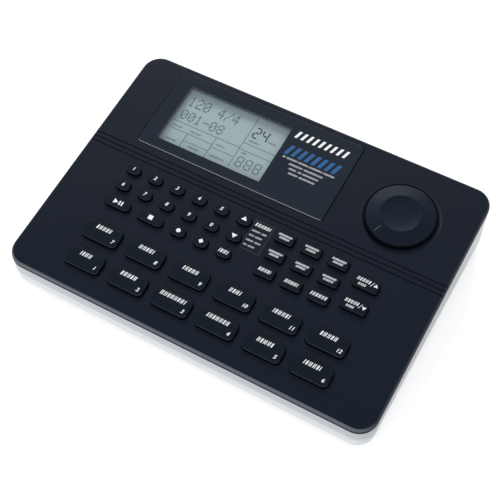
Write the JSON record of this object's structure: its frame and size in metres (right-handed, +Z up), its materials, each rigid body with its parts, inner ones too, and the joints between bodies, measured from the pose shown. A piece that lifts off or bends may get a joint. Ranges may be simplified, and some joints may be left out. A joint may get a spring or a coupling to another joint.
{
  "type": "drum machine",
  "caption": "Desktop drum machine: wedge-shaped two-part case with pressable pads and keys, a turning volume dial, a liquid crystal display behind a lens and a row of rear sockets.",
  "frame": {"origin": "on the table under the middle of the case: bottom centre of the bounding box", "axes": "+Z up, +X to the right and +Y to the rear; the player sits at -Y"},
  "size_m": [0.235, 0.1656, 0.0423],
  "materials": {
    "panel_black": "fine matte moulded texture",
    "shell_silver": "silver-grey satin moulded plastic",
    "key_black": "satin black with pale printing",
    "lens_clear": "polished clear window",
    "dial_black": "satin black, soft sheen",
    "rubber_black": "matte rubber",
    "silicone_grey": "soft matte silicone",
    "board_green": "solder-masked board",
    "screw_steel": "zinc-plated steel",
    "lcd_glass": "reflective grey-green liquid crystal glass",
    "frame_black": "plain black moulding",
    "metal_grey": "bright plated metal",
    "socket_black": "black moulded socket",
    "ribbon_grey": "grey flat cable"
  },
  "bodies": {
    "case": {"board_components": "frame_black", "bottom_shell": "shell_silver", "case_screws": "screw_steel", "display_lens": "lens_clear", "key_board": "board_green", "key_mat": "silicone_grey", "lcd_frame": "frame_black", "lcd_glass": "lcd_glass", "main_board": "board_green", "midi_sockets": "socket_black", "output_jacks": "socket_black", "power_inlet": "socket_black", "power_switch_body": "socket_black", "ribbon_cable": "ribbon_grey", "rubber_feet": "rubber_black", "top_shell": "panel_black", "volume_pot": "metal_grey"},
    "a_key": {"a_key": "key_black"},
    "b_key": {"b_key": "key_black"},
    "down_key": {"down_key": "key_black"},
    "fill_key": {"fill_key": "key_black"},
    "function_key_1": {"function_key_1": "key_black"},
    "function_key_2": {"function_key_2": "key_black"},
    "function_key_3": {"function_key_3": "key_black"},
    "function_key_4": {"function_key_4": "key_black"},
    "function_key_5": {"function_key_5": "key_black"},
    "function_key_6": {"function_key_6": "key_black"},
    "function_key_7": {"function_key_7": "key_black"},
    "function_key_8": {"function_key_8": "key_black"},
    "function_key_9": {"function_key_9": "key_black"},
    "key_0": {"key_0": "key_black"},
    "key_1": {"key_1": "key_black"},
    "key_2": {"key_2": "key_black"},
    "key_3": {"key_3": "key_black"},
    "key_4": {"key_4": "key_black"},
    "key_5": {"key_5": "key_black"},
    "key_6": {"key_6": "key_black"},
    "key_7": {"key_7": "key_black"},
    "key_8": {"key_8": "key_black"},
    "key_9": {"key_9": "key_black"},
    "pad_1": {"pad_1": "key_black"},
    "pad_10": {"pad_10": "key_black"},
    "pad_11": {"pad_11": "key_black"},
    "pad_12": {"pad_12": "key_black"},
    "pad_2": {"pad_2": "key_black"},
    "pad_3": {"pad_3": "key_black"},
    "pad_4": {"pad_4": "key_black"},
    "pad_5": {"pad_5": "key_black"},
    "pad_6": {"pad_6": "key_black"},
    "pad_7": {"pad_7": "key_black"},
    "pad_8": {"pad_8": "key_black"},
    "pad_9": {"pad_9": "key_black"},
    "page_down_key": {"page_down_key": "key_black"},
    "page_up_key": {"page_up_key": "key_black"},
    "play_key": {"play_key": "key_black"},
    "stop_key": {"stop_key": "key_black"},
    "up_key": {"up_key": "key_black"},
    "dial": {"volume_dial": "dial_black", "pot_shaft": "metal_grey"},
    "switch_slider": {"power_switch": "key_black"}
  },
  "joints": [
    {"name": "a_key_press", "type": "slide", "parent": "case", "child": "a_key", "axis": [0, 0.1184, -0.993], "range_m": [0, 0.001], "stiffness_N_per_m": 350, "springref_m": -0.001},
    {"name": "b_key_press", "type": "slide", "parent": "case", "child": "b_key", "axis": [0, 0.1184, -0.993], "range_m": [0, 0.001], "stiffness_N_per_m": 350, "springref_m": -0.001},
    {"name": "down_key_press", "type": "slide", "parent": "case", "child": "down_key", "axis": [0, 0.1184, -0.993], "range_m": [0, 0.001], "stiffness_N_per_m": 350, "springref_m": -0.001},
    {"name": "fill_key_press", "type": "slide", "parent": "case", "child": "fill_key", "axis": [0, 0.1184, -0.993], "range_m": [0, 0.001], "stiffness_N_per_m": 350, "springref_m": -0.001},
    {"name": "function_key_1_press", "type": "slide", "parent": "case", "child": "function_key_1", "axis": [0, 0.1184, -0.993], "range_m": [0, 0.001], "stiffness_N_per_m": 350, "springref_m": -0.001},
    {"name": "function_key_2_press", "type": "slide", "parent": "case", "child": "function_key_2", "axis": [0, 0.1184, -0.993], "range_m": [0, 0.001], "stiffness_N_per_m": 350, "springref_m": -0.001},
    {"name": "function_key_3_press", "type": "slide", "parent": "case", "child": "function_key_3", "axis": [0, 0.1184, -0.993], "range_m": [0, 0.001], "stiffness_N_per_m": 350, "springref_m": -0.001},
    {"name": "function_key_4_press", "type": "slide", "parent": "case", "child": "function_key_4", "axis": [0, 0.1184, -0.993], "range_m": [0, 0.001], "stiffness_N_per_m": 350, "springref_m": -0.001},
    {"name": "function_key_5_press", "type": "slide", "parent": "case", "child": "function_key_5", "axis": [0, 0.1184, -0.993], "range_m": [0, 0.001], "stiffness_N_per_m": 350, "springref_m": -0.001},
    {"name": "function_key_6_press", "type": "slide", "parent": "case", "child": "function_key_6", "axis": [0, 0.1184, -0.993], "range_m": [0, 0.001], "stiffness_N_per_m": 350, "springref_m": -0.001},
    {"name": "function_key_7_press", "type": "slide", "parent": "case", "child": "function_key_7", "axis": [0, 0.1184, -0.993], "range_m": [0, 0.001], "stiffness_N_per_m": 350, "springref_m": -0.001},
    {"name": "function_key_8_press", "type": "slide", "parent": "case", "child": "function_key_8", "axis": [0, 0.1184, -0.993], "range_m": [0, 0.001], "stiffness_N_per_m": 350, "springref_m": -0.001},
    {"name": "function_key_9_press", "type": "slide", "parent": "case", "child": "function_key_9", "axis": [0, 0.1184, -0.993], "range_m": [0, 0.001], "stiffness_N_per_m": 350, "springref_m": -0.001},
    {"name": "key_0_press", "type": "slide", "parent": "case", "child": "key_0", "axis": [0, 0.1184, -0.993], "range_m": [0, 0.001], "stiffness_N_per_m": 350, "springref_m": -0.001},
    {"name": "key_1_press", "type": "slide", "parent": "case", "child": "key_1", "axis": [0, 0.1184, -0.993], "range_m": [0, 0.001], "stiffness_N_per_m": 350, "springref_m": -0.001},
    {"name": "key_2_press", "type": "slide", "parent": "case", "child": "key_2", "axis": [0, 0.1184, -0.993], "range_m": [0, 0.001], "stiffness_N_per_m": 350, "springref_m": -0.001},
    {"name": "key_3_press", "type": "slide", "parent": "case", "child": "key_3", "axis": [0, 0.1184, -0.993], "range_m": [0, 0.001], "stiffness_N_per_m": 350, "springref_m": -0.001},
    {"name": "key_4_press", "type": "slide", "parent": "case", "child": "key_4", "axis": [0, 0.1184, -0.993], "range_m": [0, 0.001], "stiffness_N_per_m": 350, "springref_m": -0.001},
    {"name": "key_5_press", "type": "slide", "parent": "case", "child": "key_5", "axis": [0, 0.1184, -0.993], "range_m": [0, 0.001], "stiffness_N_per_m": 350, "springref_m": -0.001},
    {"name": "key_6_press", "type": "slide", "parent": "case", "child": "key_6", "axis": [0, 0.1184, -0.993], "range_m": [0, 0.001], "stiffness_N_per_m": 350, "springref_m": -0.001},
    {"name": "key_7_press", "type": "slide", "parent": "case", "child": "key_7", "axis": [0, 0.1184, -0.993], "range_m": [0, 0.001], "stiffness_N_per_m": 350, "springref_m": -0.001},
    {"name": "key_8_press", "type": "slide", "parent": "case", "child": "key_8", "axis": [0, 0.1184, -0.993], "range_m": [0, 0.001], "stiffness_N_per_m": 350, "springref_m": -0.001},
    {"name": "key_9_press", "type": "slide", "parent": "case", "child": "key_9", "axis": [0, 0.1184, -0.993], "range_m": [0, 0.001], "stiffness_N_per_m": 350, "springref_m": -0.001},
    {"name": "pad_1_press", "type": "slide", "parent": "case", "child": "pad_1", "axis": [0, 0.1184, -0.993], "range_m": [0, 0.001], "stiffness_N_per_m": 500, "springref_m": -0.001},
    {"name": "pad_10_press", "type": "slide", "parent": "case", "child": "pad_10", "axis": [0, 0.1184, -0.993], "range_m": [0, 0.001], "stiffness_N_per_m": 500, "springref_m": -0.001},
    {"name": "pad_11_press", "type": "slide", "parent": "case", "child": "pad_11", "axis": [0, 0.1184, -0.993], "range_m": [0, 0.001], "stiffness_N_per_m": 500, "springref_m": -0.001},
    {"name": "pad_12_press", "type": "slide", "parent": "case", "child": "pad_12", "axis": [0, 0.1184, -0.993], "range_m": [0, 0.001], "stiffness_N_per_m": 500, "springref_m": -0.001},
    {"name": "pad_2_press", "type": "slide", "parent": "case", "child": "pad_2", "axis": [0, 0.1184, -0.993], "range_m": [0, 0.001], "stiffness_N_per_m": 500, "springref_m": -0.001},
    {"name": "pad_3_press", "type": "slide", "parent": "case", "child": "pad_3", "axis": [0, 0.1184, -0.993], "range_m": [0, 0.001], "stiffness_N_per_m": 500, "springref_m": -0.001},
    {"name": "pad_4_press", "type": "slide", "parent": "case", "child": "pad_4", "axis": [0, 0.1184, -0.993], "range_m": [0, 0.001], "stiffness_N_per_m": 500, "springref_m": -0.001},
    {"name": "pad_5_press", "type": "slide", "parent": "case", "child": "pad_5", "axis": [0, 0.1184, -0.993], "range_m": [0, 0.001], "stiffness_N_per_m": 500, "springref_m": -0.001},
    {"name": "pad_6_press", "type": "slide", "parent": "case", "child": "pad_6", "axis": [0, 0.1184, -0.993], "range_m": [0, 0.001], "stiffness_N_per_m": 500, "springref_m": -0.001},
    {"name": "pad_7_press", "type": "slide", "parent": "case", "child": "pad_7", "axis": [0, 0.1184, -0.993], "range_m": [0, 0.001], "stiffness_N_per_m": 500, "springref_m": -0.001},
    {"name": "pad_8_press", "type": "slide", "parent": "case", "child": "pad_8", "axis": [0, 0.1184, -0.993], "range_m": [0, 0.001], "stiffness_N_per_m": 500, "springref_m": -0.001},
    {"name": "pad_9_press", "type": "slide", "parent": "case", "child": "pad_9", "axis": [0, 0.1184, -0.993], "range_m": [0, 0.001], "stiffness_N_per_m": 500, "springref_m": -0.001},
    {"name": "page_down_key_press", "type": "slide", "parent": "case", "child": "page_down_key", "axis": [0, 0.1184, -0.993], "range_m": [0, 0.001], "stiffness_N_per_m": 350, "springref_m": -0.001},
    {"name": "page_up_key_press", "type": "slide", "parent": "case", "child": "page_up_key", "axis": [0, 0.1184, -0.993], "range_m": [0, 0.001], "stiffness_N_per_m": 350, "springref_m": -0.001},
    {"name": "play_key_press", "type": "slide", "parent": "case", "child": "play_key", "axis": [0, 0.1184, -0.993], "range_m": [0, 0.001], "stiffness_N_per_m": 350, "springref_m": -0.001},
    {"name": "stop_key_press", "type": "slide", "parent": "case", "child": "stop_key", "axis": [0, 0.1184, -0.993], "range_m": [0, 0.001], "stiffness_N_per_m": 350, "springref_m": -0.001},
    {"name": "up_key_press", "type": "slide", "parent": "case", "child": "up_key", "axis": [0, 0.1184, -0.993], "range_m": [0, 0.001], "stiffness_N_per_m": 350, "springref_m": -0.001},
    {"name": "dial_turn", "type": "hinge", "parent": "case", "child": "dial", "pos_m": [0.0743, 0.04495, 0.03673], "axis": [0, -0.1184, 0.993], "range_deg": [-300, 0]},
    {"name": "power_slide", "type": "slide", "parent": "case", "child": "switch_slider", "axis": [1, 0, 0], "range_m": [0, 0.004]}
  ]
}
